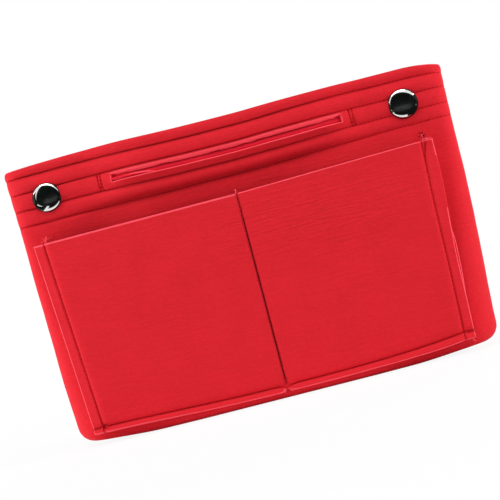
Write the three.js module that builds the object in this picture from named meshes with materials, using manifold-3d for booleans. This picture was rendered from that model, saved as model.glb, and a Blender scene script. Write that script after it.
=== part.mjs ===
// Felt purse organizer: a slim open-topped pouch of thick felt, pinched shut at both ends
// by a press stud, with a letterbox pocket in the rim band and two patch pockets in front.
// Millimetres, +Z up, front towards -Y. The origin is the middle of the underside of the base.
import * as THREE from "three";
import { mergeVertices } from "three/addons/utils/BufferGeometryUtils.js";
import Module from "manifold-3d";

const wasm = await Module();
wasm.setup();

// Driving dimensions of the felt body
const HEIGHT = 165;
const RIM_WIDTH = 260;
const BASE_WIDTH = 252;
const BASE_DEPTH = 36;
const BASE_END_DEPTH = 28;
const MOUTH_DEPTH = 31;
const MOUTH_FLAT_HALF = 45;
const BELLY_TOP_Z = 60;
const FELT = 2.4;
const FACING = 2;
const BASE_FELT = 2.5;
const BOTTOM_CORNER_RADIUS = 10;
const BOTTOM_FOLD_RADIUS = 7;
const RIM_EDGE_ROUND = 1;

// Rim band: four stitch rows, and the letterbox slot between the second and the third
const ROW_DROPS = [6.4, 15.3, 25.7, 33.3];
const FACING_BELOW_LAST_ROW = 3;
const SLOT_DROP = 19.9;
const SLOT_LENGTH = 136;
const SLOT_HEIGHT = 4.6;
const BAG_OVERHANG = 4;
const BAG_DEPTH = 95;
const BAG_SHEET = 1;
const BAG_TOP_SEAM = 4;

// Patch pockets on the front
const POCKET_MOUTH_Z = 120;
const POCKET_SEAM_Z = 10.7;
const POCKET_SEAM_BOW = 4.4;
const POCKET_TOP_MARGIN = 19.5;
const POCKET_BOTTOM_MARGIN = 20;
const POCKET_FELT = 2;
const POCKET_BOTTOM_STAND_OFF = 1;
const POCKET_MOUTH_STAND_OFF = 3.5;
const SIDE_FLANGE = 6;
const BOTTOM_FLANGE = 4;
const DIVIDER_FALL = 2.5;
const GUSSET_FELT = 1.8;
const GUSSET_START = 5;

// Press studs
const SNAP_FROM_SIDE = 24;
const SNAP_DROP = 20.1;
const CAP_RADIUS = 8.6;
const CAP_HEIGHT = 3.2;
const CAP_LIP = 0.9;
const SHANK_RADIUS = 2.1;
const SOCKET_RADIUS = 5.6;
const SOCKET_HEIGHT = 3.1;
const SOCKET_FLOOR = 0.6;
const STUD_RADIUS = 5.4;
const STUD_FLANGE = 0.8;
const BALL_RADIUS = 1.8;
const BALL_NECK = 1.4;
const BALL_HEIGHT = 2.2;
const BALL_TIP = 1.1;
const POST_RADIUS = 6.6;
const POST_HEIGHT = 1.8;

// Clearances
const LAYER_GAP = 0.3;
const SPLIT_GAP = 0.3;
const SNAP_GAP = 0.3;
const HOLE_GAP = 0.3;
const SNAP_LAND = 1;

// How finely the curved felt is stepped
const FRONT_STEPS = 24;
const NOSE_STEPS = 4;
const ROUND_STEPS = 20;

// Worked-out sizes
const rimFelt = FELT + LAYER_GAP + FACING;
const snapHalfGap = (STUD_FLANGE + SNAP_GAP + SOCKET_HEIGHT + 2 * LAYER_GAP) / 2;
const rimEndHalfDepth = snapHalfGap + rimFelt;
const lastRow = ROW_DROPS[ROW_DROPS.length - 1];
const rimBottom = HEIGHT - lastRow;
const facingBottom = rimBottom - FACING_BELOW_LAST_ROW;
const slotZ = HEIGHT - SLOT_DROP;
const snapZ = HEIGHT - SNAP_DROP;
const snapX = RIM_WIDTH / 2 - SNAP_FROM_SIDE;
const bowEnd = snapX - CAP_RADIUS - SNAP_LAND;
const panelBottom = BASE_FELT + LAYER_GAP;
const pocketTopHalf = RIM_WIDTH / 2 - POCKET_TOP_MARGIN;
const pocketBottomHalf = BASE_WIDTH / 2 - POCKET_BOTTOM_MARGIN;

function mix(a, b, share) {
  return a + (b - a) * share;
}

// Rises smoothly from 0 at start to 1 at end.
function ease(start, end, value) {
  const t = THREE.MathUtils.clamp((value - start) / (end - start), 0, 1);
  return t * t * (3 - 2 * t);
}

// How far an outline has drawn in at height z where its lower edge is rounded with this radius.
function roundedInset(radius, z) {
  const below = Math.max(0, radius - z);
  return radius - Math.sqrt(radius * radius - below * below);
}

// Half the width of the body, from the middle to the side fold.
function halfWidth(z) {
  const straight = mix(BASE_WIDTH, RIM_WIDTH, z / HEIGHT) / 2;
  return straight - roundedInset(BOTTOM_CORNER_RADIUS, z);
}

// Half the depth of the body at its middle, which stays full up to the belly's top.
function middleHalfDepth(z) {
  return mix(BASE_DEPTH, MOUTH_DEPTH, ease(BELLY_TOP_Z, rimBottom, z)) / 2;
}

// Half the depth near the side folds, where the press studs pinch the rim.
function endHalfDepth(z) {
  return mix(BASE_END_DEPTH / 2, rimEndHalfDepth, ease(0, rimBottom, z));
}

// Distance of the outer felt face in front of the middle plane, away from the side folds.
function halfDepth(x, z) {
  const bow = 1 - ease(MOUTH_FLAT_HALF, bowEnd, Math.abs(x));
  const depth = mix(endHalfDepth(z), middleHalfDepth(z), bow);
  return depth - roundedInset(BOTTOM_FOLD_RADIUS, z);
}

// Half outline of the body at height z as plan points, from the left side fold to the right one.
function bodyOutline(z) {
  const width = halfWidth(z);
  const nose = halfDepth(width, z);
  const points = [];
  for (let i = 0; i < NOSE_STEPS; i += 1) {
    const angle = (Math.PI / 2) * (i / NOSE_STEPS);
    const x = width - nose + nose * Math.cos(angle);
    points.push(new THREE.Vector2(-x, -nose * Math.sin(angle)));
  }
  for (let i = 0; i <= FRONT_STEPS; i += 1) {
    const x = mix(-(width - nose), width - nose, i / FRONT_STEPS);
    points.push(new THREE.Vector2(x, -halfDepth(x, z)));
  }
  for (let i = NOSE_STEPS - 1; i >= 0; i -= 1) {
    const mirrored = points[i];
    points.push(new THREE.Vector2(-mirrored.x, mirrored.y));
  }
  return points;
}

// The stretch of that outline that lies behind the letterbox slot.
function bagOutline(z) {
  const half = SLOT_LENGTH / 2 + BAG_OVERHANG;
  const steps = FRONT_STEPS / 2;
  const points = [];
  for (let i = 0; i <= steps; i += 1) {
    const x = mix(-half, half, i / steps);
    points.push(new THREE.Vector2(x, -halfDepth(x, z)));
  }
  return points;
}

// Moves each plan point inwards, square to the outline. The two ends keep their y on the middle plane.
function insetOutline(points, distance) {
  return points.map((point, i) => {
    const before = points[Math.max(0, i - 1)];
    const after = points[Math.min(points.length - 1, i + 1)];
    const along = after.clone().sub(before).normalize();
    const inset = new THREE.Vector2(point.x - along.y * distance, point.y + along.x * distance);
    if (point.y === 0) {
      inset.set(point.x - Math.sign(point.x) * distance, 0);
    }
    return inset;
  });
}

// A closed solid of strip-shaped plan sections, one at each height, with flat ends. sidesAt(z) gives
// the two long sides of the section, each with as many points as the other.
function loft(heights, sidesAt) {
  const rings = heights.map((z) => {
    const [near, far] = sidesAt(z);
    const ring = [...near, ...far.reverse()];
    return THREE.ShapeUtils.isClockWise(ring) ? ring.reverse() : ring;
  });
  const count = rings[0].length;
  const positions = [];
  rings.forEach((ring, level) => {
    ring.forEach((point) => positions.push(point.x, point.y, heights[level]));
  });
  const index = [];
  for (let level = 0; level < rings.length - 1; level += 1) {
    for (let i = 0; i < count; i += 1) {
      const next = (i + 1) % count;
      const low = level * count;
      const high = low + count;
      index.push(low + i, low + next, high + next, low + i, high + next, high + i);
    }
  }
  const top = (rings.length - 1) * count;
  for (let i = 0; i < count / 2 - 1; i += 1) {
    const across = count - 1 - i;
    index.push(across, across - 1, i + 1, across, i + 1, i);
    index.push(top + i, top + i + 1, top + across - 1, top + i, top + across - 1, top + across);
  }
  const geometry = new THREE.BufferGeometry();
  geometry.setAttribute("position", new THREE.Float32BufferAttribute(positions, 3));
  geometry.setIndex(index);
  return geometry;
}

// A curved sheet of felt that follows an outline, from one inset to another.
function felt(outlineAt, heights, outerInset, thickness, drawIn = () => 0) {
  return loft(heights, (z) => {
    const outline = outlineAt(z);
    const outer = insetOutline(outline, outerInset + drawIn(z));
    const inner = insetOutline(outline, outerInset + thickness);
    [...outer, ...inner].forEach((point) => point.setY(point.y - SPLIT_GAP / 2));
    return [outer, inner];
  });
}

// Evenly spaced heights from one level to another.
function levels(from, to, steps) {
  return Array.from({ length: steps + 1 }, (_, i) => mix(from, to, i / steps));
}

function toManifold(geometry) {
  const bare = geometry.clone();
  bare.deleteAttribute("normal");
  bare.deleteAttribute("uv");
  const merged = mergeVertices(bare, 1e-4);
  return new wasm.Manifold(
    new wasm.Mesh({
      numProp: 3,
      vertProperties: new Float32Array(merged.attributes.position.array),
      triVerts: new Uint32Array(merged.index.array),
    }),
  );
}

function fromManifold(solid) {
  const mesh = solid.getMesh();
  const geometry = new THREE.BufferGeometry();
  geometry.setAttribute("position", new THREE.BufferAttribute(mesh.vertProperties, 3));
  geometry.setIndex(new THREE.BufferAttribute(mesh.triVerts, 1));
  return geometry;
}

function cut(geometry, ...tools) {
  const solid = tools.reduce((left, tool) => left.subtract(toManifold(tool)), toManifold(geometry));
  return fromManifold(solid);
}

// Turns a front piece about the vertical axis into the matching back piece.
function toBack(geometry) {
  return geometry.clone().rotateZ(Math.PI);
}

// The same piece on the other side of the object.
function mirrored(geometry) {
  const copy = geometry.index ? geometry.toNonIndexed() : geometry.clone();
  const position = copy.getAttribute("position");
  for (let i = 0; i < position.count; i += 1) {
    position.setX(i, -position.getX(i));
  }
  for (let i = 0; i < position.count; i += 3) {
    const [x, y, z] = [position.getX(i), position.getY(i), position.getZ(i)];
    position.setXYZ(i, position.getX(i + 1), position.getY(i + 1), position.getZ(i + 1));
    position.setXYZ(i + 1, x, y, z);
  }
  return copy;
}

// A bar along Y that cuts the letterbox slot through the front of the rim band.
function slotCutter() {
  const reach = MOUTH_DEPTH;
  const bar = new THREE.BoxGeometry(SLOT_LENGTH, reach, SLOT_HEIGHT);
  bar.translate(0, -reach / 2 - SPLIT_GAP, slotZ);
  return bar;
}

// The holes that the shanks of the two press studs pass through.
function shankCutters() {
  return [-snapX, snapX].map((x) => {
    const drill = new THREE.CylinderGeometry(
      SHANK_RADIUS + HOLE_GAP,
      SHANK_RADIUS + HOLE_GAP,
      MOUTH_DEPTH,
      ROUND_STEPS,
    );
    drill.translate(x, -MOUTH_DEPTH / 2, snapZ);
    return drill;
  });
}

// One outer felt panel, from the base fold up to the rim, as it lies in front.
function outerPanel() {
  const fold = levels(panelBottom, BOTTOM_CORNER_RADIUS, 4);
  const wall = levels(BOTTOM_CORNER_RADIUS, facingBottom, 6).slice(1);
  const band = levels(facingBottom, HEIGHT - RIM_EDGE_ROUND, 2).slice(1);
  const heights = [...fold, ...wall, ...band, HEIGHT];
  const drawIn = (z) => (z === HEIGHT ? RIM_EDGE_ROUND : 0);
  return felt(bodyOutline, heights, 0, FELT, drawIn);
}

// The second layer inside the rim band.
function rimFacing() {
  const heights = levels(facingBottom, HEIGHT - RIM_EDGE_ROUND, 2);
  return felt(bodyOutline, heights, FELT + LAYER_GAP, FACING);
}

// The base: one sheet with the outline of the panels' lower edge, its underside edge rounded.
function basePanel() {
  const front = bodyOutline(panelBottom);
  const back = front.slice(1, -1).map((point) => new THREE.Vector2(point.x, -point.y)).reverse();
  const round = BASE_FELT / 2;
  const shape = new THREE.Shape([...front, ...back]);
  const plate = new THREE.ExtrudeGeometry(shape, {
    depth: BASE_FELT - round,
    steps: 1,
    bevelEnabled: true,
    bevelThickness: round,
    bevelSize: round,
    bevelOffset: -round,
    bevelSegments: 2,
  });
  const aboveTop = new THREE.BoxGeometry(2 * BASE_WIDTH, 2 * BASE_DEPTH, 2 * BASE_FELT);
  aboveTop.translate(0, 0, 2 * BASE_FELT);
  plate.translate(0, 0, round);
  return cut(plate, aboveTop);
}

// The two sheets of the slip pocket that hangs behind the slot.
function bagFront() {
  const top = slotZ - SLOT_HEIGHT / 2 - LAYER_GAP;
  return felt(bagOutline, levels(slotZ - BAG_DEPTH, top, 5), rimFelt + LAYER_GAP, BAG_SHEET);
}

function bagBack() {
  const top = slotZ + SLOT_HEIGHT / 2 + BAG_TOP_SEAM;
  const inset = rimFelt + 2 * LAYER_GAP + BAG_SHEET;
  return felt(bagOutline, levels(slotZ - BAG_DEPTH, top, 5), inset, BAG_SHEET);
}

// Half the distance between the pocket's side seams.
function seamHalf(z) {
  const share = (z - POCKET_SEAM_Z) / (POCKET_MOUTH_Z - POCKET_SEAM_Z);
  return mix(pocketBottomHalf, pocketTopHalf, share);
}

// Distance of the pocket face's inner side in front of the middle plane, away from the divider.
function facePlane(z) {
  const share = (z - POCKET_SEAM_Z) / (POCKET_MOUTH_Z - POCKET_SEAM_Z);
  const bottom = middleHalfDepth(POCKET_SEAM_Z) + POCKET_BOTTOM_STAND_OFF;
  const mouth = middleHalfDepth(POCKET_MOUTH_Z) + POCKET_MOUTH_STAND_OFF;
  return mix(bottom, mouth, Math.max(0, share));
}

// The same with the valley where the divider seam draws the face back to the panel.
function faceDepth(x, z) {
  const seam = Math.min(halfDepth(0, z) + LAYER_GAP + SPLIT_GAP, facePlane(z));
  return mix(seam, facePlane(z), ease(0, DIVIDER_FALL, x));
}

// The right-hand pocket face with its flanges, from the divider to the outer raw edge.
function pocketFace() {
  const heights = [POCKET_SEAM_Z - BOTTOM_FLANGE, ...levels(POCKET_SEAM_Z, POCKET_MOUTH_Z, 5)];
  const face = loft(heights, (z) => {
    const seam = seamHalf(Math.max(z, POCKET_SEAM_Z));
    const columns = [
      ...levels(SPLIT_GAP / 2, DIVIDER_FALL, 2),
      ...levels(DIVIDER_FALL, seam, 6).slice(1),
      seam + SIDE_FLANGE,
    ];
    const inner = columns.map((x) => new THREE.Vector2(x, -faceDepth(x, z)));
    const outer = columns.map((x) => new THREE.Vector2(x, -faceDepth(x, z) - POCKET_FELT));
    return [inner, outer];
  });
  return bowBottomSeam(face);
}

// Lowers the face towards the middle of its bottom seam, and leaves the mouth straight.
function bowBottomSeam(geometry) {
  const position = geometry.getAttribute("position");
  for (let i = 0; i < position.count; i += 1) {
    const across = Math.min(1, position.getX(i) / pocketBottomHalf);
    const fromMouth = (POCKET_MOUTH_Z - position.getZ(i)) / (POCKET_MOUTH_Z - POCKET_SEAM_Z);
    const drop = POCKET_SEAM_BOW * (1 - across * across) * Math.min(1, fromMouth);
    position.setZ(i, position.getZ(i) - drop);
  }
  return geometry;
}

// The right-hand gusset: a wall from the panel to the face, turned outwards behind the flange.
function pocketGusset() {
  const heights = levels(POCKET_SEAM_Z + GUSSET_START, POCKET_MOUTH_Z, 6);
  return loft(heights, (z) => {
    const seam = seamHalf(z);
    const inside = seam - GUSSET_FELT;
    const front = facePlane(z) - LAYER_GAP;
    const foot = LAYER_GAP + SPLIT_GAP / 2;
    const outside = [
      new THREE.Vector2(seam, -(halfDepth(seam, z) + foot)),
      new THREE.Vector2(seam, -(front - GUSSET_FELT)),
      new THREE.Vector2(seam + SIDE_FLANGE, -(front - GUSSET_FELT)),
    ];
    const within = [
      new THREE.Vector2(inside, -(halfDepth(inside, z) + foot)),
      new THREE.Vector2(inside, -front),
      new THREE.Vector2(seam + SIDE_FLANGE, -front),
    ];
    return [outside, within];
  });
}

// A turned metal part on the press stud's axis: profile points are radius and distance in front.
function turned(profile) {
  const points = profile.map(([radius, front]) => new THREE.Vector2(radius, front));
  const geometry = new THREE.LatheGeometry(points, ROUND_STEPS);
  geometry.rotateX(Math.PI);
  geometry.translate(snapX, 0, snapZ);
  return geometry;
}

// The domed cap outside the front panel, with its hollow shank through the felt.
function snapCap() {
  const seat = rimEndHalfDepth + SPLIT_GAP / 2 + LAYER_GAP;
  const shankEnd = snapHalfGap + SPLIT_GAP / 2 + LAYER_GAP;
  const dome = [];
  const domeSteps = 6;
  for (let i = 0; i < domeSteps; i += 1) {
    const angle = (Math.PI / 2) * (i / domeSteps);
    const height = seat + CAP_LIP + (CAP_HEIGHT - CAP_LIP) * Math.sin(angle);
    dome.push([CAP_RADIUS * Math.cos(angle), height]);
  }
  return turned([
    [0, shankEnd],
    [SHANK_RADIUS, shankEnd],
    [SHANK_RADIUS, seat],
    [CAP_RADIUS - CAP_LIP / 2, seat],
    ...dome,
    [0, seat + CAP_HEIGHT],
  ]);
}

// The female half on the inside of the front, open towards the stud.
function snapSocket() {
  const back = snapHalfGap + SPLIT_GAP / 2 - LAYER_GAP;
  const floor = back - SOCKET_FLOOR;
  const mouth = back - SOCKET_HEIGHT;
  const bore = BALL_RADIUS + SNAP_GAP;
  return turned([
    [0, floor],
    [bore, floor],
    [bore, mouth],
    [SOCKET_RADIUS - CAP_LIP, mouth],
    [SOCKET_RADIUS, mouth + CAP_LIP],
    [SOCKET_RADIUS, back],
    [0, back],
  ]);
}

// The male half on the inside of the back: a flange with a ball on a neck.
function snapStud() {
  const back = -(snapHalfGap + SPLIT_GAP / 2 - LAYER_GAP);
  const flange = back + STUD_FLANGE;
  const tip = flange + BALL_HEIGHT;
  const middle = tip - BALL_TIP;
  return turned([
    [0, back],
    [STUD_RADIUS, back],
    [STUD_RADIUS, flange],
    [BALL_NECK, flange],
    [BALL_RADIUS, middle],
    [BALL_NECK, tip],
    [0, tip],
  ]);
}

// The flat cap of the post that holds the stud, outside the back panel.
function snapPost() {
  const seat = -(rimEndHalfDepth + SPLIT_GAP / 2 + LAYER_GAP);
  const shankEnd = -(snapHalfGap + SPLIT_GAP / 2 + LAYER_GAP);
  return turned([
    [0, seat - POST_HEIGHT],
    [POST_RADIUS - CAP_LIP, seat - POST_HEIGHT],
    [POST_RADIUS, seat - POST_HEIGHT / 2],
    [POST_RADIUS, seat],
    [SHANK_RADIUS, seat],
    [SHANK_RADIUS, shankEnd],
    [0, shankEnd],
  ]);
}

// Materials
function feltMaterial(color) {
  return new THREE.MeshStandardMaterial({ color, roughness: 0.9, metalness: 0, flatShading: true });
}

const redFelt = feltMaterial(0xd92a36);
const deepRedFelt = feltMaterial(0xb8121f);
const redLining = feltMaterial(0xc81e2c);
const polishedNickel = new THREE.MeshStandardMaterial({ color: 0xd8d8d8, roughness: 0.1, metalness: 1 });

function piece(name, geometry, material) {
  const mesh = new THREE.Mesh(geometry, material);
  mesh.name = name;
  return mesh;
}

// A left-hand and a right-hand copy of a piece made on the right.
function pair(name, geometry, material) {
  return [
    piece(`${name}_right`, geometry, material),
    piece(`${name}_left`, mirrored(geometry), material),
  ];
}

const plainPanel = outerPanel();
const plainFacing = rimFacing();

const back = new THREE.Group();
back.add(
  piece("base_panel", basePanel(), redFelt),
  piece("back_panel", toBack(cut(plainPanel, ...shankCutters())), redFelt),
  piece("back_rim_facing", toBack(cut(plainFacing, ...shankCutters())), deepRedFelt),
  ...pair("snap_stud", snapStud(), polishedNickel),
  ...pair("snap_post", snapPost(), polishedNickel),
);

const front = new THREE.Group();
front.add(
  piece("front_panel", cut(plainPanel, slotCutter(), ...shankCutters()), redFelt),
  piece("front_rim_facing", cut(plainFacing, slotCutter(), ...shankCutters()), deepRedFelt),
  piece("slot_bag_front", bagFront(), redLining),
  piece("slot_bag_back", bagBack(), redLining),
  ...pair("snap_cap", snapCap(), polishedNickel),
  ...pair("snap_socket", snapSocket(), polishedNickel),
  ...pair("pocket_gusset", pocketGusset(), deepRedFelt),
);

const pockets = new THREE.Group();
pockets.add(...pair("pocket_face", pocketFace(), redFelt));

const organizer = new THREE.Group();
organizer.add(back, front, pockets);

export default organizer;
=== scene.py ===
import math

import bmesh
import bpy
from mathutils import Matrix, Vector, noise


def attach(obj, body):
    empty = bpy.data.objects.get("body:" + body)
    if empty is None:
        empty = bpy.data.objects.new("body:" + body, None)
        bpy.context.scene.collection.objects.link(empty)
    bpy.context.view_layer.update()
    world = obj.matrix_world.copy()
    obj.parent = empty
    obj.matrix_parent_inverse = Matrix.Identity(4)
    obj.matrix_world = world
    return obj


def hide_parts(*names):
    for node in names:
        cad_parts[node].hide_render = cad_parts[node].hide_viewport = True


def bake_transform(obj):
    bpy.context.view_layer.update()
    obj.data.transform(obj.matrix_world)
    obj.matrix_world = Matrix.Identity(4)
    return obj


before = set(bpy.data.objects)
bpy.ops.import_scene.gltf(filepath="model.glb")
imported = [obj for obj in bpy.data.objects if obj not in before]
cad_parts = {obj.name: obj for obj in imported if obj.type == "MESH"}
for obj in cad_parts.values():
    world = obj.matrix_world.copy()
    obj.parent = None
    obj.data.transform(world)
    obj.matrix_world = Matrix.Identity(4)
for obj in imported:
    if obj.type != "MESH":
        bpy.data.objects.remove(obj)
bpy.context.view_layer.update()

MM = 0.001
FORWARD = Vector((0, -1, 0))

# Felt body
HEIGHT = 165
RIM_WIDTH = 260
BASE_WIDTH = 252
BASE_DEPTH = 36
BASE_END_DEPTH = 28
MOUTH_DEPTH = 31
MOUTH_FLAT_HALF = 45
BELLY_TOP_Z = 60
FELT = 2.4
FACING = 1.9
BASE_FELT = 2.5
BASE_SEAM_BULGE = 0.7
BASE_SEAM_INSET = 3
BASE_TUCK = 0.3
BOTTOM_CORNER_RADIUS = 8.5
BOTTOM_FOLD_RADIUS = 3.6
RIM_END_HALF_DEPTH = 7.1
BOW_END = 96.4
END_TURN = 0.06
TURN_START = 80
TURN_LIMIT = 8
STEADY_HALF = 95

# Rim band
ROW_DROPS = (6.4, 15.3, 25.7, 33.3)
ROWS = tuple(HEIGHT - drop for drop in ROW_DROPS)
# How far the rim's edge and each row stand above level at the left end, in the middle and at the right end
EDGE_RISE = (-0.5, 0.3, -0.3)
ROW_RISE = ((1.1, 0.7, 0.1), (0.2, 0.65, -0.6), (0.9, 0.5, 0.5), (0.7, -0.5, 1))
FACING_BOTTOM = ROWS[3] - 3
SLOT_Z = HEIGHT - 19.3
SLOT_HALF_LENGTH = 68
SLOT_HALF_HEIGHT = 2.4
WINDOW_HALF_LENGTH = 72.1
WINDOW_HALF_HEIGHT = 3.9
TACK_X = {1: 73.7, -1: 75.3}
CREASE_DEPTH = 1
CREASE_HALF = 0.6
# Widths of the bands beside cut edges that take the cut-edge felt, paler with a painted highlight
RAW_EDGE = 0.6
SLOT_RAW_EDGE = 0.4
# How far the bands swell, from the rim down; the last one swells more in the middle
BAND_SWELL = (2, 1.5, 1)
LAST_BAND_SWELL = 0.7
LAST_BAND_BOW = 0.7
BAND_TOP_MARGIN = 0.4
# How far the lips of the slot stand forward, the flat part of the lower one, and how deep its end tacks pull
UPPER_LIP = 0.9
LOWER_LIP = 2.4
LIP_FLAT = 0.9
TACK_PULL = 1.1
# Close stations where the end tacks press the felt, and angles round the side folds
TACK_STATIONS = (72.2, 72.7, 73.2, 73.7, 74.2, 74.7, 75.2, 75.7, 76.2, 76.8)
FINE_FOLD = (66, 50, 36, 25, 16, 10, 5, 0)
COARSE_FOLD = (60, 30, 12, 0)

# Slip bag behind the slot
BAG_HALF_WIDTH = 72
BAG_BOTTOM = SLOT_Z - 95
BAG_SHEET = 1

# Patch pockets
MOUTH_Z = 120
SEAM_Z = 10.7
SEAM_BOW = {1: 4.3, -1: 2.6}
SEAM_END_DROP = {1: -1, -1: 0.8}
MOUTH_RISE = {1: 1.6, -1: 0.3}
SEAM_TOP_HALF = {1: 110, -1: 113.5}
SEAM_BOTTOM_HALF = {1: 106, -1: 106.7}
POCKET_FELT = 2
# Width of the band at each pocket mouth that takes the cut-edge felt, with its painted highlight
MOUTH_EDGE = {1: 0.6, -1: 1}
FACE_STAND_OFF_BOTTOM = 0.4
FACE_STAND_OFF_MOUTH = 3.5
FACE_FLANGE = {1: 6, -1: 6.5}
GUSSET_FLANGE = {1: 6.9, -1: 6.2}
BOTTOM_FLANGE = 3
CORNER_FLANGE = {1: 1.2, -1: -0.4}
GUSSET_FELT = 1.8
GUSSET_START = 5
FACE_CROWN = 0.8
# How deep the seams pull the face, and half the width of what they pull
SIDE_CREASE = 0.75
SIDE_CREASE_HALF = 0.55
BOTTOM_CREASE = 1
BOTTOM_CREASE_HALF = 0.6
MOUTH_TUCK = 1.6
PUCKER_DEPTH = 1.2
CORNER_SLIT = 0.9
CORNER_SLIT_HALF = 0.45
CORNER_SLIT_DROP = 0.6
# Steps of the mesh beside the divider, across the side seam and across the bottom seam
DIVIDER_STEPS = (0, 0.45, 0.9, 1.5, 2.2)
SIDE_STEPS = (-4, -2.2, -1.4, -0.8, -0.4, 0, 0.4, 0.8, 1.2, 1.6, 2, 2.5)
BOTTOM_STEPS = (-1.7, -1.2, -0.8, -0.4, 0, 0.4, 0.8, 1.3, 2.4, 3.6)
STEADY_END = 100
DIVIDER_X = 1.6
DIVIDER_HALF = 0.2
DIVIDER_DEPTH = 1.3
DIVIDER_PUCKER = {1: 5.5, -1: 4}

# Press studs
SNAP_PLACES = {1: (105.6, HEIGHT - 19.7), -1: (-107.2, HEIGHT - 18.6)}
SNAP_HALF_GAP = 2.4
STUD_CLEARANCE = 0.25
TURN_STEPS = 64
# Outside this radius the cap's rolled edge takes a painted contact shadow
CAP_BRIGHT_RADIUS = 8

# Thread
STITCH_PITCH = 2.4
STITCH_LENGTH = 1.9
THREAD = 0.5
THREAD_END = 0.7
TACK_PITCH = 2.1
TACK_LENGTH = 1.5
TACK_THREAD = 0.75

# Name of the value on a mesh that tells the felt how hard a seam presses it and how much painted shade it
# takes in creases and folds, and the deeper red for both: partly compressed felt, partly painted shade
PRESSED_AND_SHADED = "pressed_and_shaded"
PRESSED_AND_SHADED_RED = "B00010"

# Camera, matched to the photograph
CAMERA_AZIMUTH = 5.6
CAMERA_ELEVATION = -0.3
CAMERA_ROLL = -14.7
CAMERA_DISTANCE = 1042.4
CAMERA_TARGET = (-1.1, 0, 87)
LENS = 129.6


def mix(a, b, share):
    return a + (b - a) * share


def ease(start, end, value):
    """Rises smoothly from 0 at start to 1 at end."""
    t = min(1, max(0, (value - start) / (end - start)))
    return t * t * (3 - 2 * t)


def ramp(start, end, value):
    """Rises straight from 0 at start to 1 at end."""
    return min(1, max(0, (value - start) / (end - start)))


def dent(distance, half):
    """1 on a line, falling smoothly to nothing a few half widths away from it."""
    return math.exp(-((distance / half) ** 2))


def by_side(left, right, x):
    """One value on the left, another on the right, smoothly from one to the other across the middle."""
    return mix(left, right, ease(-20, 20, x))


def spread(start, end, count):
    """count evenly spaced numbers after start, the last of them end."""
    return [mix(start, end, (i + 1) / count) for i in range(count)]


# Shape of the body in plan and in height

def rounded_inset(radius, z):
    """How far a corner of this radius is rounded away at a height above it."""
    below = max(0, radius - z)
    return radius - math.sqrt(radius * radius - below * below)


def half_width(z):
    """Half the body's width, which grows towards the rim."""
    return mix(BASE_WIDTH, RIM_WIDTH, z / HEIGHT) / 2 - rounded_inset(BOTTOM_CORNER_RADIUS, z)


def middle_half_depth(z):
    """Half the body's depth in the middle of its width, narrower from the belly up."""
    return mix(BASE_DEPTH, MOUTH_DEPTH, ease(BELLY_TOP_Z, ROWS[3], z)) / 2


def end_half_depth(z):
    """Half the body's depth at its side folds, where the press studs pinch it."""
    return mix(BASE_END_DEPTH / 2, RIM_END_HALF_DEPTH, ease(0, ROWS[3], z))


def bow(x):
    """1 over the bowed middle of the body, 0 where the press studs pinch its ends."""
    return 1 - ease(MOUTH_FLAT_HALF, BOW_END, abs(x))


def half_depth(x, z):
    """Half the body's depth. Beside a press stud the walls turn: apart towards the middle, and together
    towards the side fold."""
    depth = mix(end_half_depth(z), middle_half_depth(z), bow(x))
    before_stud = max(-TURN_LIMIT, SNAP_PLACES[1][0] - abs(x))
    turned_out = END_TURN * before_stud * ease(TURN_START, BOW_END, abs(x))
    return depth + turned_out * ease(20, 110, z) - rounded_inset(BOTTOM_FOLD_RADIUS, z)


def quarter_stations(fine):
    """Stations of a quarter of the way round: along the face, towards the side fold, and half round it."""
    if fine:
        face = [*spread(0, SLOT_HALF_LENGTH, 34), SLOT_HALF_LENGTH + SLOT_RAW_EDGE, *TACK_STATIONS]
        face += spread(TACK_STATIONS[-1], STEADY_HALF, 8)
    else:
        face = spread(0, STEADY_HALF, 24)
    towards = spread(0, 1, 11 if fine else 5)
    fold = FINE_FOLD if fine else COARSE_FOLD
    return [("face", x) for x in face] + [("towards", t) for t in towards] + [("fold", a) for a in fold]


def stations(fine=True):
    """Places round the body from the back's middle over the front: side in x, side in y, kind and value."""
    out = quarter_stations(fine)
    home = out[-2::-1]
    route = [(1, 1, "face", 0)]
    for side_x, side_y, places in ((-1, 1, out), (-1, -1, home), (1, -1, [("face", 0), *out]), (1, 1, home)):
        route += [(side_x, side_y, *place) for place in places]
    return [*route, (1, 1, "face", 0)]


def plan(station, z):
    """Plan point of a station at height z, and the outward direction there."""
    side_x, side_y, kind, value = station
    width = half_width(z)
    fold_radius = half_depth(width, z)
    if kind == "fold":
        angle = math.radians(value)
        x = width - fold_radius + fold_radius * math.cos(angle)
        out = Vector((side_x * math.cos(angle), side_y * math.sin(angle)))
        return side_x * x, side_y * fold_radius * math.sin(angle), out
    x = value if kind == "face" else mix(STEADY_HALF, width - fold_radius, value)
    slope = (half_depth(x + 0.5, z) - half_depth(x - 0.5, z)) if x > 1 else 0
    out = Vector((-slope * side_x, side_y)).normalized()
    return side_x * x, side_y * half_depth(x, z), out


# Relief of the felt: quilted bands, creases at the stitch rows, the flared slot, soft waves

def bulge(low, high, z):
    """1 halfway between two rows, 0 on them and outside them."""
    t = (z - low) / (high - low)
    return max(0, 1 - (2 * t - 1) ** 2)


def quilting(x, z):
    """The bands between the stitch rows swell, and each row pulls a crease that is uneven along it."""
    swells = (*BAND_SWELL, LAST_BAND_SWELL + LAST_BAND_BOW * bow(x))
    edges = (HEIGHT + BAND_TOP_MARGIN, *ROWS)
    push = 0
    for swell, upper, lower in zip(swells, edges, edges[1:]):
        push += swell * bulge(lower, upper, z)
    pulled = 1 + 0.35 * noise.noise(Vector((x / 9, z / 3, 4)))
    for row in ROWS:
        push -= CREASE_DEPTH * pulled * mix(1, 0.6, ease(20, 100, x)) * dent(z - row, CREASE_HALF)
    return push * (1 - 0.85 * ease(RIM_WIDTH / 2 - 14, RIM_WIDTH / 2 - 3, abs(x)))


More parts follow.
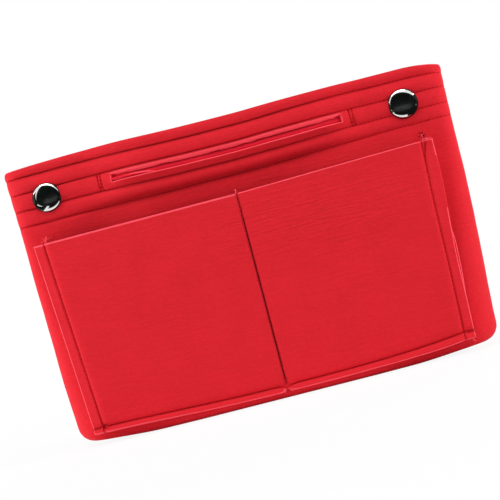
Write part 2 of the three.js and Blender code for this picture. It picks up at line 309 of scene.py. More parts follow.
def slot_flare(x, z):
    """The lips of the slot stand forward, most in the middle; the stitched ends are drawn in."""
    row_2, row_3 = ROWS[1], ROWS[2]
    window = 1 - ease(SLOT_HALF_LENGTH - 10, SLOT_HALF_LENGTH + 3, abs(x))
    above = ease(SLOT_Z - 1, SLOT_Z + 1, z)
    upper = UPPER_LIP * (1 - ease(SLOT_Z + SLOT_HALF_HEIGHT, row_2, z)) * above
    lower = LOWER_LIP * ramp(row_3, SLOT_Z - SLOT_HALF_HEIGHT - LIP_FLAT, z) * (1 - above)
    between_rows = ease(row_3 - 0.4, row_3 + 0.4, z) * (1 - ease(row_2 - 0.4, row_2 + 0.4, z))
    from_tack = abs(x) - TACK_X[1 if x > 0 else -1]
    tack = TACK_PULL * (dent(from_tack + 0.9, 0.4) + dent(from_tack - 0.8, 0.4)) * between_rows
    return (upper + lower) * window - tack


def under_band(x):
    """1 along the stretch of the front that leans back under the rim band, most of it left of the middle."""
    return ease(-100, -60, x) * (1 - ease(35, 85, x))


def recess(x, z):
    """From the third row down the felt leans back, and behind the pocket mouth it draws back further on the
    left and comes forward on the right."""
    leaning = 0.1 + 2.3 * under_band(x)
    drawn = 0.1 + 1.5 * ease(-116, -98, x) * (1 - ease(15, 55, x))
    drawn -= 1.7 * ease(40, 80, x) * (1 - ease(104, 116, x))
    overhang = (1 - ramp(ROWS[3], ROWS[2], z)) ** 2
    return (leaning * overhang + drawn * (1 - ease(MOUTH_Z - 5, ROWS[3], z))) * ease(70, 108, z)


def pressed_and_shaded_by_rows(station, z):
    """How hard the rows press the felt, with painted shade in their creases, and on the front also the
    painted shade in the fold under the band and, less of it, under the slot's lower lip."""
    side_x, side_y, kind, value = station
    x = side_x * (value if kind == "face" else STEADY_HALF)
    rows = max(dent(z - row, 0.5) for row in ROWS) * mix(0.85, 0.15, ease(20, 100, x))
    if side_y > 0:
        return rows
    # Painted shade, not pressing: the fold under the rim band and the stretch under the slot's lower lip
    fold = 0.9 * dent(z - ROWS[3] - 0.7, 2.4) * under_band(x)
    below_lip = ramp(ROWS[2] - 0.5, ROWS[2] + 0.5, z) * (1 - ramp(SLOT_Z - 3.4, SLOT_Z - 2.6, z))
    under_lip = 0.4 * below_lip * (1 - ease(58, 70, abs(x)))
    return max(rows, fold, under_lip)


def waves(x, y, z):
    """The felt's own unevenness, long and slow with a little that is short."""
    slow = noise.noise(Vector((x, y * 2, z)) / 38)
    quick = noise.noise(Vector((x / 24, y / 9, z / 9)))
    return 0.45 * slow + 0.12 * quick


def relief(x, y, z):
    """How far the felt stands out from its planned surface."""
    push = quilting(x, z) + waves(x, y, z) * ease(0, 12, z)
    push += BASE_SEAM_BULGE * ease(0, 3, z) * (1 - ease(8, 18, z)) * bow(x)
    if y < 0:
        push += slot_flare(x, z) - recess(x, z)
    return push


def row_wander(x, z):
    """How far the rim's edge and the rows stray from level, smoothly from one to the next."""
    left, right = 1 - ease(-125, -40, x), ease(20, 115, x)
    marks = [(HEIGHT, EDGE_RISE), *zip(ROWS, ROW_RISE), (MOUTH_Z, (0, 0, 0))]
    for (top, over), (bottom, under) in zip(marks, marks[1:]):
        if z >= bottom:
            here = [mix(a, b, (z - bottom) / (top - bottom)) for a, b in zip(under, over)]
            return here[0] * left + here[1] * (1 - left - right) + here[2] * right
    return 0


def lift(x, z):
    """How far the felt stands above or below its level height: the rim's middle sags a little, its left end
    rises, the corners of the rim droop and are rounded, and the bottom corners curve up."""
    in_band = ease(ROWS[3] - 4, ROWS[2] + 2, z)
    at_edge = ease(ROWS[0], HEIGHT, z)
    ends = 2.6 * ease(0, 95, -x) + 1.2 * ease(5, 80, x)
    sag = 0.6 * ease(ROWS[3] - 2, ROWS[2], z) - 0.6 * at_edge * (1 - ease(15, 60, x))
    from_tip = max(0, half_width(z) - abs(x))
    droop = by_side(0.8, 3.2, x) * max(0, 1 - from_tip / 24) ** 2
    corner = rounded_inset(by_side(2.8, 1, x), from_tip)
    bottom = by_side(2.5, 2.8, x) * ease(74, 126, abs(x)) * (1 - ease(10, 50, z))
    wobble = 0.3 * noise.noise(Vector((x / 28, 0, z / 14))) * ease(100, ROWS[3], z)
    level = in_band * ends + wobble - sag + row_wander(x, z)
    return level - droop * ease(ROWS[1], HEIGHT, z) - corner * at_edge + bottom


def aside(x, z):
    """How far the felt is pulled to the right: the slot sits right of the middle, the right end leans out and
    the left end is drawn in near the base."""
    slot = 1.1 * (1 - ease(76, 100, abs(x))) * ease(108, ROWS[3], z)
    right_end = 1.2 * ease(30, 100, z) - 1.0 * (1 - ease(10, 50, z))
    left_end = 1.3 * (1 - ease(2, 45, z))
    return slot + right_end * ease(20, RIM_WIDTH / 2, x) + left_end * ease(20, RIM_WIDTH / 2, -x)


def skin(station, z, inset=0.0):
    """Point of the felt at a station and height, moved inwards by inset."""
    x, y, out = plan(station, z)
    push = relief(x, y, z) - inset
    return Vector((x + out.x * push + aside(x, z), y + out.y * push, z + lift(x, z)))


# Mesh helpers

def grid(columns, rows, place, pressed_and_shaded_at=None):
    """A sheet of quads whose corner at a column and a row lies where place(column, row) says. The last
    argument says, from 0 to 1, how hard a seam presses the felt there and how much painted shade of creases
    it takes."""
    bm = bmesh.new()
    across, up = len(columns) - 1, len(rows) - 1
    bmesh.ops.create_grid(bm, x_segments=across, y_segments=up, size=0.5)
    pressed_and_shaded = bm.verts.layers.float.new(PRESSED_AND_SHADED)
    for vert in bm.verts:
        column = columns[round((vert.co.x + 0.5) * across)]
        row = rows[round((vert.co.y + 0.5) * up)]
        vert.co = place(column, row)
        if pressed_and_shaded_at:
            vert[pressed_and_shaded] = min(1, pressed_and_shaded_at(column, row))
    return bm


def close(bm):
    """Joins the corners that lie in one place, such as those of a sheet that runs right round."""
    bmesh.ops.remove_doubles(bm, verts=bm.verts, dist=0.01)
    return bm


def thicken(bm, thickness, rounding=0.35, raw=RAW_EDGE):
    """Gives a sheet its thickness, away from its faces' outer side, and rounds its cut edges. Faces beside an
    edge that are about as narrow as raw belong to the cut, where the fibres stand up and a highlight is
    painted."""
    widest = raw * 1.2
    for edge in bm.edges:
        if edge.is_boundary and edge.link_faces[0].calc_area() < widest * edge.calc_length():
            edge.link_faces[0].material_index = 1
    bm.normal_update()
    skin_verts = set(bm.verts)
    bmesh.ops.solidify(bm, geom=bm.faces[:], thickness=thickness)
    rim = {face for face in bm.faces if len({vert in skin_verts for vert in face.verts}) == 2}
    for face in rim:
        face.material_index = 1
    cut = [edge for edge in bm.edges if len({face in rim for face in edge.link_faces}) == 2]
    bmesh.ops.bevel(
        bm, geom=cut, offset=rounding, offset_type="ABSOLUTE", segments=2, profile=0.5, affect="EDGES",
        material=-1,
    )
    return bm


def make_grain():
    """The few-sided grain that every stitch is a stretched copy of."""
    bm = bmesh.new()
    bmesh.ops.create_uvsphere(bm, u_segments=6, v_segments=4, radius=1)
    mesh = bpy.data.meshes.new("grain")
    bm.to_mesh(mesh)
    bm.free()
    return mesh


grain = make_grain()


def add_stitch(bm, middle, along, out, length=STITCH_LENGTH, width=THREAD):
    """One stitch of thread, lying along a line."""
    side = along.cross(out).normalized()
    turn = Matrix((along.normalized(), side, side.cross(along).normalized())).transposed().to_4x4()
    size = Matrix.Diagonal((length / 2, width / 2, width * 0.42, 1))
    stitch = grain.copy()
    stitch.transform(Matrix.Translation(middle) @ turn @ size)
    bm.from_mesh(stitch)
    bpy.data.meshes.remove(stitch)


def even(points, pitch):
    """Middles and directions of stitches laid along a line of points."""
    found, travelled, due = [], 0, pitch / 2
    for a, b in zip(points, points[1:]):
        long = (b - a).length
        while due < travelled + long:
            found.append((a.lerp(b, (due - travelled) / long), (b - a).normalized()))
            due += pitch
        travelled += long
    return found


def stitch_row(bm, points, out_at, pitch=STITCH_PITCH, length=STITCH_LENGTH, width=THREAD):
    """Stitches along a line of points. out_at says which way they face, from their middle and direction."""
    for middle, along in even(points, pitch):
        add_stitch(bm, middle, along, out_at(middle, along), length, width)


def piece(name, bm, *materials):
    """Turns a mesh made in millimetres into an object with its materials."""
    bmesh.ops.scale(bm, vec=(MM, MM, MM), verts=bm.verts)
    for face in bm.faces:
        face.smooth = True
    for edge in bm.edges:
        edge.smooth = edge.calc_face_angle(0) < math.radians(50)
    mesh = bpy.data.meshes.new(name)
    bm.to_mesh(mesh)
    bm.free()
    for material in materials:
        mesh.materials.append(material)
    obj = bpy.data.objects.new(name, mesh)
    bpy.context.collection.objects.link(obj)
    return obj


# Materials

def linear(text):
    """A colour written as sRGB hex, as the linear values that a shader takes."""
    parts = [int(text[i:i + 2], 16) / 255 for i in (0, 2, 4)]
    return (*[p / 12.92 if p <= 0.04045 else ((p + 0.055) / 1.055) ** 2.4 for p in parts], 1)


def per(mm):
    """Scale of a pattern of this size, because object coordinates are in metres."""
    return 1 / (mm * MM)


def add(tree, kind, inputs, **settings):
    """Adds a node, sets its properties, and gives its inputs values or links."""
    made = tree.nodes.new(kind)
    for name, value in settings.items():
        setattr(made, name, value)
    for name, value in inputs.items():
        if isinstance(value, bpy.types.NodeSocket):
            tree.links.new(value, made.inputs[name])
        else:
            made.inputs[name].default_value = value
    return made


def shader(name):
    """A new material: its tree, its main shader and its object coordinates."""
    material = bpy.data.materials.new(name)
    material.use_nodes = True
    tree = material.node_tree
    place = add(tree, "ShaderNodeTexCoord", {}).outputs["Object"]
    return material, tree, tree.nodes["Principled BSDF"], place


def felt(name, pale, deep, fuzz):
    """Needle-punched polyester felt: matt, with a soft bloom at grazing angles, faint blotches where the
    fibres lie thicker, fine fuzz, and shallow ripples along the width, left by the calender and deepest in
    one patch. Where a seam presses the fibres flat it is a deeper red, and the same red is painted shade in
    creases, in the fold under the rim band and under the slot's lower lip. The fuzz is drawn coarser than
    real fibres, so that it shows."""
    material, tree, main, place = shader(name)
    fibre_mm, blotch_mm, ripple_mm = 0.9, 18, 1.7
    fuzz_mm, ripple_depth_mm = 0.25, 1.15
    combed = add(tree, "ShaderNodeMapping", {"Vector": place, "Scale": (0.45, 0.6, 1)})
    fibres = add(tree, "ShaderNodeTexNoise", {
        "Vector": combed.outputs["Vector"], "Scale": per(fibre_mm), "Detail": 4,
    })
    blotches = add(tree, "ShaderNodeTexNoise", {"Vector": place, "Scale": per(blotch_mm), "Detail": 3})
    stretched = add(tree, "ShaderNodeMapping", {
        "Vector": place, "Scale": (0.09, 0.4, 1), "Rotation": (0, 0.05, 0),
    })
    ripples = add(tree, "ShaderNodeTexNoise", {
        "Vector": stretched.outputs["Vector"], "Scale": per(ripple_mm), "Detail": 1, "Distortion": 0.4,
    })
    patch_place = add(tree, "ShaderNodeMapping", {
        "Vector": place, "Location": (0.042, 0, 0.098), "Scale": (0.075, 1, 0.03),
    }, vector_type="TEXTURE")
    patch = add(
        tree, "ShaderNodeTexGradient", {"Vector": patch_place.outputs["Vector"]}, gradient_type="SPHERICAL",
    )
    depth = add(tree, "ShaderNodeMapRange", {"Value": patch.outputs["Fac"], 3: 0.22, 4: 1})
    rippled = add(
        tree, "ShaderNodeMath", {0: ripples.outputs["Fac"], 1: depth.outputs["Result"]}, operation="MULTIPLY",
    )
    both = add(tree, "ShaderNodeMix", {0: 0.35, 2: fibres.outputs["Fac"], 3: blotches.outputs["Fac"]})
    tones = add(tree, "ShaderNodeValToRGB", {"Fac": both.outputs[0]})
    for tone, position, colour in zip(tones.color_ramp.elements, (0.34, 0.66), (deep, pale)):
        tone.position = position
        tone.color = linear(colour)
    # Deeper red where seams press the felt, and painted shade in creases, under the rim band and under the
    # lower lip
    pressed_and_shaded = add(tree, "ShaderNodeAttribute", {}, attribute_name=PRESSED_AND_SHADED).outputs["Fac"]
    shaded = add(tree, "ShaderNodeMix", {
        0: pressed_and_shaded, 6: tones.outputs["Color"], 7: linear(PRESSED_AND_SHADED_RED),
    }, data_type="RGBA")
    broad = add(tree, "ShaderNodeBump", {
        "Height": rippled.outputs[0], "Strength": 1, "Distance": ripple_depth_mm * MM,
    })
    fine = add(tree, "ShaderNodeBump", {
        "Height": fibres.outputs["Fac"], "Strength": fuzz, "Distance": fuzz_mm * MM,
        "Normal": broad.outputs["Normal"],
    })
    tree.links.new(shaded.outputs[2], main.inputs["Base Color"])
    tree.links.new(fine.outputs["Normal"], main.inputs["Normal"])
    main.inputs["Roughness"].default_value = 0.85
    main.inputs["Specular IOR Level"].default_value = 0.2
    main.inputs["Sheen Weight"].default_value = 0.2
    main.inputs["Sheen Roughness"].default_value = 0.4
    main.inputs["Sheen Tint"].default_value = linear("FF9AA8")
    return material


def thread(name, colour, twist_shade):
    """Spun polyester sewing thread: a slight gloss, and a twist that shows as slanting light and dark,
    bumped and with painted shade in its grooves.
    """
    material, tree, main, place = shader(name)
    twist_mm, twist_depth_mm = 0.45, 0.1
    twist = add(tree, "ShaderNodeTexWave", {
        "Vector": place, "Scale": per(twist_mm) / math.tau, "Distortion": 1.5,
    }, bands_direction="DIAGONAL")
    dark = add(tree, "ShaderNodeMix", {
        0: twist.outputs["Fac"], 6: linear(colour), 7: linear(twist_shade),
    }, data_type="RGBA")
    tree.links.new(dark.outputs[2], main.inputs["Base Color"])
    raised = add(tree, "ShaderNodeBump", {
        "Height": twist.outputs["Fac"], "Strength": 0.4, "Distance": twist_depth_mm * MM,
    })
    tree.links.new(raised.outputs["Normal"], main.inputs["Normal"])
    main.inputs["Roughness"].default_value = 0.7
    main.inputs["Specular IOR Level"].default_value = 0.05
    return material


def polished(name, colour, roughness):
    """Nickel-plated brass: a clear mirror with hairline wipe marks that blur it a little here and there."""
    material, tree, main, place = shader(name)
    wipe_mm = 0.5
    stretched = add(tree, "ShaderNodeMapping", {
        "Vector": place, "Scale": (0.15, 1, 1), "Rotation": (0, 0.6, 0),
    })
    wipes = add(tree, "ShaderNodeTexNoise", {
        "Vector": stretched.outputs["Vector"], "Scale": per(wipe_mm), "Detail": 4,
    })
    gloss = add(tree, "ShaderNodeMapRange", {"Value": wipes.outputs["Fac"], 3: roughness, 4: roughness * 2.2})
    tree.links.new(gloss.outputs["Result"], main.inputs["Roughness"])
    main.inputs["Base Color"].default_value = linear(colour)
    main.inputs["Metallic"].default_value = 1
    return material


red_felt = felt("needle_punched_red_felt", "E2202E", "D81C28", 0.3)
# Where felt is cut, its fibres stand on end and look paler; the pale colour is also a painted highlight of
# cut edges catching the light
cut_felt_painted_highlight = felt("cut_edge_of_red_felt_painted_highlight", "FF5868", "FA4858", 0.5)
facing_felt = felt("inner_red_felt", "DA1624", "C80F1C", 0.3)
lining = felt("thin_red_felt_lining", "DC1230", "CC0C24", 0.3)
# Thread colours hold painted light: painted shade where it lies sunk in the felt's creases, a painted
# highlight at loose ends, and deeper painted shade in knots
red_thread_painted_shade = thread("spun_polyester_thread_painted_shade", "BA0616", "96000C")
thread_painted_highlight = thread("loose_polyester_thread_painted_highlight", "FF6070", "E83C4A")
thread_painted_knot_shade = thread("knotted_polyester_thread_painted_shade", "98000C", "700008")
# A stud's outer parts are buffed bright and its inner halves only tumbled. The rolled edge that lies in the
# felt is painted dark as a contact shadow against the felt, and mirrors hardly anything.
nickel = polished("polished_nickel", "E6E6E4", 0.045)
dull_nickel = polished("tumbled_nickel", "C9C8C4", 0.2)
nickel_painted_contact_shadow = polished("nickel_edge_painted_contact_shadow", "2E1C1E", 0.4)


# Felt wrap, rim facing and base

def row_heights(bottom, top, halves):
    """Heights for a sheet of the rim band: close together at stitch rows, and at the edges of its opening,
    which lie at halves above and below the slot's middle."""
    marks = [bottom, top - RAW_EDGE, top]
    for half in halves:
        marks += [SLOT_Z - half, SLOT_Z + half]
    for row in ROWS:
        for mark in (row + step for step in (-1.2, -0.65, -0.3, 0, 0.3, 0.65, 1.2)):
            if bottom < mark < top and min(abs(mark - other) for other in marks) > 0.25:
                marks.append(mark)
    marks.sort()
    heights = [marks[0]]
    for mark in marks[1:]:
        steps = max(1, round((mark - heights[-1]) / 1.3))
        heights += spread(heights[-1], mark, steps)
    return heights


def cut_slot(bm, half_length, half_height):
    """Takes out the front faces in the slot."""
    inside = []
    for face in bm.faces:
        middle = face.calc_center_median()
        level = middle.z - lift(middle.x, SLOT_Z) - SLOT_Z
        in_slot = abs(level) < half_height and abs(middle.x - aside(middle.x, SLOT_Z)) < half_length
        if in_slot and middle.y < 0:
            inside.append(face)
    bmesh.ops.delete(bm, geom=inside, context="FACES")


def make_wrap():
    """The outer felt, one sheet right round the body from the fold at the base up to the rim."""
    curl = [BOTTOM_FOLD_RADIUS * (1 - math.cos(math.radians(a))) for a in (0, 18, 36, 54, 72, 90)]
    heights = curl + spread(curl[-1], FACING_BOTTOM, 46)[:-1]
    lips = (SLOT_HALF_HEIGHT, SLOT_HALF_HEIGHT + SLOT_RAW_EDGE, SLOT_HALF_HEIGHT + 0.9)
    heights += row_heights(FACING_BOTTOM, HEIGHT, lips)
    bm = close(grid(stations(), heights, skin, pressed_and_shaded_by_rows))
    cut_slot(bm, SLOT_HALF_LENGTH, SLOT_HALF_HEIGHT)
    return piece("felt_wrap", thicken(bm, FELT), red_felt, cut_felt_painted_highlight)


def make_facing():
    """The second felt inside the rim band, with a window behind the slot."""
    inset = FELT + 0.1
    heights = row_heights(FACING_BOTTOM, HEIGHT - 0.5, (WINDOW_HALF_HEIGHT,))
    bm = close(grid(stations(), heights, lambda s, z: skin(s, z, inset)))
    cut_slot(bm, WINDOW_HALF_LENGTH, WINDOW_HALF_HEIGHT)
    return piece("rim_facing", thicken(bm, FACING), facing_felt, cut_felt_painted_highlight)


def make_base():
    """The sheet that closes the body below, cut to its outline."""
    places = stations(fine=False)[:-1]
    bm = bmesh.new()
    bmesh.ops.create_circle(bm, cap_ends=True, segments=len(places), radius=1)
    for vert, station in zip(bm.verts, places):
        x, y, out = plan(station, 0)
        vert.co = (x - out.x * BASE_TUCK + aside(x, 0), y - out.y * BASE_TUCK, lift(x, 0))
    bmesh.ops.recalc_face_normals(bm, faces=bm.faces)
    if bm.faces[:][0].normal.z > 0:
        bmesh.ops.reverse_faces(bm, faces=bm.faces)
    bmesh.ops.inset_region(bm, faces=bm.faces, thickness=BASE_SEAM_INSET)
    return piece("base_sheet", thicken(bm, BASE_FELT), red_felt, cut_felt_painted_highlight)


def rim_line(z, inset):
    """The line that a stitch row follows round the body."""
    return [skin(station, z, inset) for station in stations()]


def away_from_middle(middle, along):
    return Vector((along.y, -along.x, 0))


def towards_middle(middle, along):
    return Vector((-along.y, along.x, 0))


def forwards(middle, along):
    return FORWARD


def make_rim_stitches(number, z):
    """One row right round the rim: its outside and, through both felts, its inside."""
    bm = bmesh.new()
    stitch_row(bm, rim_line(z, 0.0), away_from_middle)
    stitch_row(bm, rim_line(z, FELT + FACING + 0.1), towards_middle)
    return piece(f"rim_stitches_{number}", bm, red_thread_painted_shade)


def across_felt(piece_on_both):
    """Bakes the placement of a piece that runs round both back and front into its mesh."""
    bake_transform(piece_on_both)


wrap = make_wrap()
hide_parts("front_panel", "back_panel")
facing = make_facing()
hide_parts("front_rim_facing", "back_rim_facing")
for whole in (wrap, facing):
    across_felt(whole)

base = make_base()
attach(base, "back")
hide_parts("base_panel")

for number, z in enumerate(ROWS, 1):
    across_felt(make_rim_stitches(number, z))


# Slot: end tacks and the slip bag

def front_at(x):
    """The station on the front wall this far right of the middle."""
    return (1 if x >= 0 else -1, -1, "face", abs(x))


def make_slot_tacks():
    """At each end of the slot two rows of stitches, further apart at the top."""
    bm = bmesh.new()
    for side in (-1, 1):
        for off, slant in ((-0.5, -0.7), (-0.2, 1.2)):
            line = []
            for t in spread(0, 1, 12):
                station = front_at(side * TACK_X[side] + off + slant * t)
                line.append(skin(station, mix(ROWS[2] + 0.4, ROWS[1] - 0.4, t)))
            stitch_row(bm, line, forwards, TACK_PITCH, TACK_LENGTH, TACK_THREAD)
    return piece("slot_end_tacks", bm, red_thread_painted_shade)


def bag_sheet(name, top_at, inset, slot_inset, lean):
    """A thin sheet hung behind the slot, where it comes forward through the window in the facing and leans
    back towards the upper lip."""
    columns = [-BAG_HALF_WIDTH, *spread(-BAG_HALF_WIDTH, BAG_HALF_WIDTH, 60)]
    rows = [0, *spread(0, 0.85, 24), *spread(0.85, 0.99, 28), 1]

    def place(x, share):
        z = mix(BAG_BOTTOM, top_at(x), share)
        own_sag = 3 if inset > bag_inset else 9
        sag = 0.8 * noise.noise(Vector((x / 30, own_sag, z / 30)))
        _, y, _ = plan(front_at(x), z)
        below_rim = 1 - ease(ROWS[3] - 25, ROWS[3], z)
        hung = Vector((x, y + inset + (1.5 * bow(x) + sag) * below_rim, z + lift(x, z)))
        from_slot = abs(z - SLOT_Z)
        near_lip = slot_inset - 0.8 * ease(48, 66, abs(x)) + lean * max(0, z - SLOT_Z + SLOT_HALF_HEIGHT)
        in_slot = 1 - ease(SLOT_HALF_HEIGHT - 0.9, SLOT_HALF_HEIGHT - 0.1, from_slot)
        behind = mix(FELT + 0.3, near_lip, in_slot)
        if z > SLOT_Z:
            behind = max(behind, near_lip)
        shown = skin(front_at(x), z, behind)
        return hung.lerp(shown, 1 - ease(SLOT_HALF_HEIGHT + 0.5, WINDOW_HALF_HEIGHT, from_slot))

    bm = grid(columns, rows, place)
    return piece(name, thicken(bm, BAG_SHEET, 0.25), lining, cut_felt_painted_highlight)


def front_sheet_top(x):
    """The front sheet's edge shows above the lower lip at the left end of the slot and dips out of sight."""
    return SLOT_Z - SLOT_HALF_HEIGHT - 0.4 + 2.4 * (1 - ease(-66, -28, x))


bag_inset = FELT + FACING + 0.5
bag_front = bag_sheet("slip_bag_front", front_sheet_top, bag_inset, 1.1, 0)
bag_back = bag_sheet("slip_bag_back", lambda x: SLOT_Z + 8, bag_inset + BAG_SHEET + 0.4, 2.2, 0.3)
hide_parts("slot_bag_front")
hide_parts("slot_bag_back")
for sheet in (bag_front, bag_back):
    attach(sheet, "front")
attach(make_slot_tacks(), "front")


# Patch pockets

def seam_half(side, z):
    """From the middle to a pocket's side seam. The right one is drawn in a little above its middle."""
    straight = mix(SEAM_BOTTOM_HALF[side], SEAM_TOP_HALF[side], (z - SEAM_Z) / (MOUTH_Z - SEAM_Z))
    return straight - (0.5 * dent(z - 88, 25) if side > 0 else 0)


def seam_drop(side, x, z):
    """How far a pocket hangs below level: its bottom seam bows down in the middle and puckers at the divider,
    and its mouth stays straight and rises towards its end."""
    across = min(1, x / SEAM_BOTTOM_HALF[side])
    from_mouth = min(1, (MOUTH_Z - z) / (MOUTH_Z - SEAM_Z))
    shape = 1 - across ** 3 if side > 0 else (1 - across * across) ** 2
    near_divider = max(0, 1 - x / DIVIDER_PUCKER[side])
    pucker = 1.5 * near_divider * (1 - ease(SEAM_Z, SEAM_Z + 9, z))
    below_seam = 1 - ease(SEAM_Z - BOTTOM_FLANGE, SEAM_Z, z)
    flange = (CORNER_FLANGE[side] * ease(0.4, 1, across) - 2.4 * near_divider) * below_seam
    at_mouth = -MOUTH_RISE[side] * across
    at_seam = SEAM_END_DROP[side] + SEAM_BOW[side] * shape
    return mix(at_mouth, at_seam, from_mouth) + pucker + flange


def on_face(side, x, z, in_front):
    """A point in front of the middle plane, with the divider standing a little right of the middle."""
    off_middle = DIVIDER_X * (1 - ease(0, 80, x))
    return Vector((side * x + off_middle, -in_front, z - seam_drop(side, x, z)))


def face_inner(z):
    """Distance of the pocket face's inner side in front of the middle plane."""
    share = max(0, (z - SEAM_Z) / (MOUTH_Z - SEAM_Z))
    bottom = middle_half_depth(SEAM_Z) + FACE_STAND_OFF_BOTTOM
    return mix(bottom, middle_half_depth(MOUTH_Z) + FACE_STAND_OFF_MOUTH, share)


def face_outer(side, x, z):
    """Distance of the pocket face's outer side in front of the middle plane."""
    from_seam = seam_half(side, max(z, SEAM_Z)) - x
    above = z - SEAM_Z
    depth = face_inner(z) + POCKET_FELT
    crown = FACE_CROWN * ease(0, 30, from_seam) * ease(0, 25, above) * ease(0, 25, x)
    rounding = 0.7 * (1 - ease(0, 3.2, max(0, from_seam))) + 0.6 * (1 - ease(0, 3.2, max(0, above)))
    crease = SIDE_CREASE * dent(from_seam, SIDE_CREASE_HALF) + BOTTOM_CREASE * dent(above, BOTTOM_CREASE_HALF)
    if side > 0:
        near_mouth = ramp(MOUTH_Z - 12, MOUTH_Z, z)
        crease += MOUTH_TUCK * dent(from_seam + 2 * near_mouth, 0.35) * ease(0.05, 0.4, near_mouth)
    divider = DIVIDER_DEPTH * (1 - ease(DIVIDER_HALF, 1.2, x)) ** 2
    pucker = PUCKER_DEPTH * dent(x, 3) * dent(above, 5)
    slow = noise.noise(Vector((side * x, 0, z)) / 34)
    quick = noise.noise(Vector((side * x / 26, 5, z / 4)))
    wave = (0.35 * slow + 0.06 * quick) * ease(-4, 8, above)
    tucked = 0.7 * rounded_inset(BOTTOM_FOLD_RADIUS, max(0, z - seam_drop(side, x, z)))
    slant = 0.24 * max(0, -from_seam) - 0.55 * max(0, -above)
    return depth + crown - rounding - crease - divider - pucker - tucked - slant + wave


def at_slit(z):
    """1 along the short slit at a pocket's bottom corner."""
    return dent(z - SEAM_Z + CORNER_SLIT_DROP, CORNER_SLIT_HALF)


def notch(side, x, z):
    """The short slit at the corner where the side flange stops above the bottom one."""
    beyond = x - seam_half(side, max(z, SEAM_Z))
    return CORNER_SLIT * at_slit(z) * ease(0.5, 2, beyond)


def flange_stretch(side, z):
    """How much wider than planned the side flange is cut at a height. The left one is even."""
    if side < 0:
        return 1
    return 1 + 0.26 * dent(z - 94, 22) + 0.04 * dent(z - 120, 10) - 0.05 * dent(z - 50, 16)


def make_face(name, side):
    """The raised front of a pocket, from the divider past its side seam, and its flanges."""
    near = [DIVIDER_HALF + step for step in DIVIDER_STEPS]
    steady = [*near, *spread(near[-1], STEADY_END, 44)]
    edge = [*SIDE_STEPS, FACE_FLANGE[side] - RAW_EDGE, FACE_FLANGE[side]]
    columns = [("steady", x) for x in steady] + [("edge", d) for d in edge]
    rows = [SEAM_Z + step for step in (-BOTTOM_FLANGE, *BOTTOM_STEPS)]
    rows += [*spread(rows[-1], MOUTH_Z - MOUTH_EDGE[side], 46), MOUTH_Z]

    def place(column, z):
        kind, value = column
        x = value if kind == "steady" else seam_half(side, max(z, SEAM_Z)) + value * flange_stretch(side, z)
        return on_face(side, x, z, face_outer(side, x, z) - notch(side, x, z))

    # Seams press the felt here, and their creases, the divider and the corner slit take painted shade
    def pressed_and_shaded_at(column, z):
        kind, value = column
        at_bottom = 0.75 * dent(z - SEAM_Z, 0.55)
        if kind == "steady":
            return max(at_bottom, 0.9 * dent(value - DIVIDER_HALF, 0.6))
        near_ends = max(1 - ease(SEAM_Z, SEAM_Z + 40, z), ease(MOUTH_Z - 25, MOUTH_Z, z))
        at_side = mix(0.3, 0.75, near_ends) * dent(value, 0.5)
        return max(at_bottom, at_side, 0.9 * at_slit(z) * ease(0.5, 2, value))

    bm = grid(columns, rows, place, pressed_and_shaded_at)
    if side < 0:
        bmesh.ops.reverse_faces(bm, faces=bm.faces)
    return piece(name, thicken(bm, POCKET_FELT, raw=MOUTH_EDGE[side]), red_felt, cut_felt_painted_highlight)


def make_gusset(name, side):
    """A wall from panel to face, turned outwards behind the flange of the face."""
    flange = [("flange", t) for t in (1, 0.92, 0.7, 0.45, 0.2)]
    wall = [("wall", t) for t in (1, 0.93, 0.8, 0.65, 0.5, 0.35, 0.2, 0.08, 0)]
    rows = [SEAM_Z + GUSSET_START, *spread(SEAM_Z + GUSSET_START, MOUTH_Z - 0.4, 44)]

    def place(column, z):
        kind, t = column
        seam = seam_half(side, z) + 0.5
        front = face_outer(side, seam + 1.5, z) - POCKET_FELT - GUSSET_FELT - 0.15
        foot = half_depth(seam, z) + 0.3
        ripple = 0.25 * noise.noise(Vector((side * 7, t * 2, z / 14)))
        level = z - seam_drop(side, seam, z)
        if kind == "flange":
            hidden = 1.7 * (1 - ease(SEAM_Z + GUSSET_START, SEAM_Z + 45, z))
            hidden += 2.4 * ease(MOUTH_Z - 62, MOUTH_Z - 34, z)
            out = seam + t * (GUSSET_FLANGE[side] - 0.5 - hidden)
            return Vector((side * out, -front - ripple * t, level))
        belly = 0.9 * math.sin(math.pi * t)
        return Vector((side * (seam - belly + ripple), -mix(foot, front, t), level))

    bm = grid(flange + wall, rows, place)
    if side < 0:
        bmesh.ops.reverse_faces(bm, faces=bm.faces)
    return piece(name, thicken(bm, GUSSET_FELT, 0.4), facing_felt, cut_felt_painted_highlight)


def make_pocket_stitches(name, side):
    """Side seam and bottom seam of one pocket, sunk in their creases."""
    bm = bmesh.new()
    edge = []
    for z in spread(SEAM_Z, MOUTH_Z - 1, 60):
        x = seam_half(side, z)
        edge.append(on_face(side, x, z, face_outer(side, x, z)))
    low = []
    for x in spread(2, SEAM_BOTTOM_HALF[side], 60):
        low.append(on_face(side, x, SEAM_Z, face_outer(side, x, SEAM_Z)))
    for line in (edge, low):
        stitch_row(bm, line, forwards)
    return piece(name, bm, red_thread_painted_shade)


def make_divider_stitches():
    """The seam between the pockets, a little proud of the bottom of its crease."""
    bm = bmesh.new()
    line = []
    for z in spread(SEAM_Z - 2, MOUTH_Z - 1, 60):
        line.append(on_face(1, 0, z, face_outer(1, DIVIDER_HALF, z) + 0.2))
    stitch_row(bm, line, forwards)
    return piece("divider_stitches", bm, red_thread_painted_shade)


def bend_out(part, body):
    """Bakes the part's placement into its mesh."""
    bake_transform(part)


